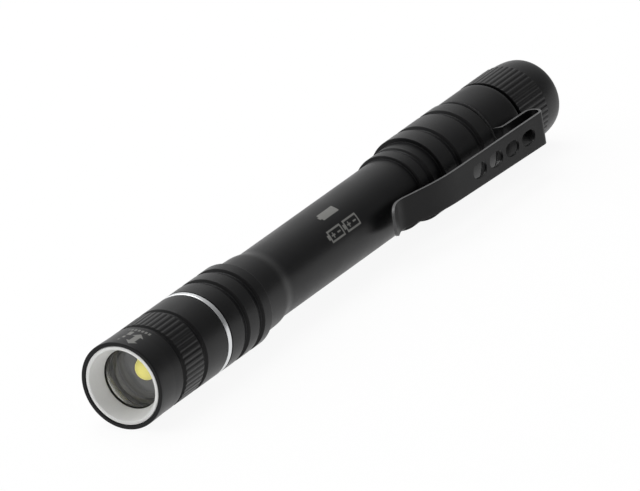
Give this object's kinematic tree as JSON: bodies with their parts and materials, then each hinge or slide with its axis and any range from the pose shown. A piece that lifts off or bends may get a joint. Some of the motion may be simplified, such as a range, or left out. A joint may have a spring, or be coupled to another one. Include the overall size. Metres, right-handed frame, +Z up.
{
  "type": "pocket flashlight",
  "caption": "Slim black pocket flashlight with a sliding focus head, clear dome lens in a white cone, ribbed barrel, screw tail cap with push button and a sheet-metal pocket clip.",
  "frame": {"origin": "under the middle of the lying flashlight's box, on the surface that it lies on", "axes": "+Y along the axis from the lens to the tail button, +X towards the pocket clip, +Z up"},
  "size_m": [0.0204, 0.1432, 0.0164],
  "materials": {
    "black_anodised": "satin black anodised",
    "black_steel": "matte black coated sheet steel",
    "bright_ring": "turned bright",
    "bare_aluminium": "fine turned",
    "white_plastic": "satin",
    "black_rubber": "matte",
    "clear_lens": "polished",
    "emitter_yellow": "satin",
    "emitter_ceramic": "matte",
    "board_black": "satin",
    "board_green": "satin",
    "brass": "turned",
    "spring_steel": "drawn wire",
    "cell_sleeve": "plain film sleeve",
    "switch_plastic": "moulded",
    "plunger_plastic": "moulded"
  },
  "bodies": {
    "barrel": {"barrel": "black_anodised", "trim_ring": "bright_ring", "led_carrier": "bare_aluminium", "focus_o_ring": "black_rubber", "front_seal": "black_rubber", "led_board": "board_black", "led_base": "emitter_ceramic", "led_dome": "emitter_yellow", "driver_board": "board_green", "front_contact": "brass", "front_cell": "cell_sleeve", "rear_cell": "cell_sleeve", "tail_seal": "black_rubber", "clip_collar": "black_steel"},
    "head": {"head_shell": "black_anodised", "bezel_ring": "white_plastic", "lens_gasket": "black_rubber", "lens": "clear_lens", "head_stop_ring": "bare_aluminium"},
    "switch_module": {"switch_body": "switch_plastic", "switch_board": "board_green", "tail_spring": "spring_steel"},
    "tail_cap": {"tail_cap": "black_anodised", "switch_retainer": "bare_aluminium", "button_washer": "bare_aluminium"},
    "button": {"button": "black_rubber"},
    "plunger": {"switch_plunger": "plunger_plastic"},
    "clip_arm": {"clip_arm": "black_steel"}
  },
  "joints": [
    {"name": "focus_slide", "type": "slide", "parent": "barrel", "child": "head", "axis": [0, -1, 0], "range_m": [0, 0.006]},
    {"name": "cap_travel", "type": "slide", "parent": "barrel", "child": "switch_module", "axis": [0, 1, 0], "range_m": [0, 0.004]},
    {"name": "cap_turn", "type": "hinge", "parent": "switch_module", "child": "tail_cap", "pos_m": [-0.00198, 0.06, 0.0082], "axis": [0, 1, 0], "range_deg": [0, 1441]},
    {"name": "button_press", "type": "slide", "parent": "tail_cap", "child": "button", "axis": [0, -1, 0], "range_m": [0, 0.0015], "stiffness_N_per_m": 800},
    {"name": "plunger_press", "type": "slide", "parent": "switch_module", "child": "plunger", "axis": [0, -1, 0], "range_m": [0, 0.0015]},
    {"name": "clip_flex", "type": "hinge", "parent": "barrel", "child": "clip_arm", "pos_m": [0.00823, 0.0565, 0.0082], "axis": [0, 0, 1], "range_deg": [0, 4], "stiffness_Nm_per_rad": 5}
  ],
  "couplings": [
    {"joint": "cap_turn", "follows": "cap_travel", "rad_per_m": 6283.2},
    {"joint": "plunger_press", "follows": "button_press", "ratio": 1}
  ]
}
